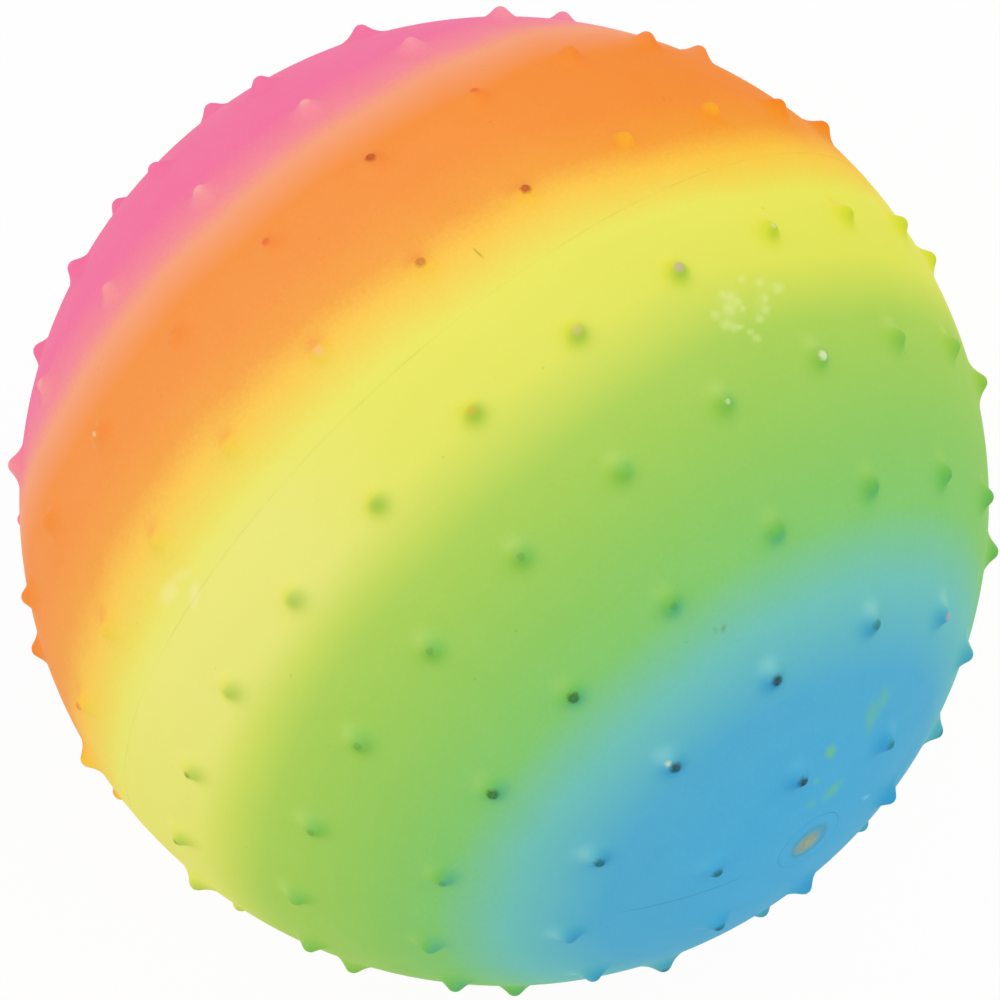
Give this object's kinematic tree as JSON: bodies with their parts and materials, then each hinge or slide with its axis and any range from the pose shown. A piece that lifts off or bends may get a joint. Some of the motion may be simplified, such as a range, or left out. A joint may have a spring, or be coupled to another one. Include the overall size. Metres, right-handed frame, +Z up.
{
  "type": "sensory ball",
  "caption": "Soft hollow play ball with rings of rounded nubs all over, painted in rainbow bands, with a push-in plug in a valve seat for filling it with air.",
  "frame": {"origin": "centre of the ball", "axes": "+X out of the valve along the ball's axis of symmetry, +Z up, so the ball lies on the floor with its valve facing sideways"},
  "size_m": [0.1779, 0.1806, 0.1805],
  "materials": {
    "painted_skin": "satin soft vinyl, sprayed in bands of pink, orange, yellow, green and blue",
    "painted_seat": "satin soft vinyl, sprayed blue with the skin round it",
    "bare_plug": "bare tan soft vinyl"
  },
  "bodies": {
    "ball": {"ball_skin": "painted_skin", "valve_seat": "painted_seat"},
    "plug": {"valve_plug": "bare_plug"}
  },
  "joints": [
    {"name": "plug_pull", "type": "slide", "parent": "ball", "child": "plug", "axis": [1, 0, 0], "range_m": [0, 0.02]}
  ]
}
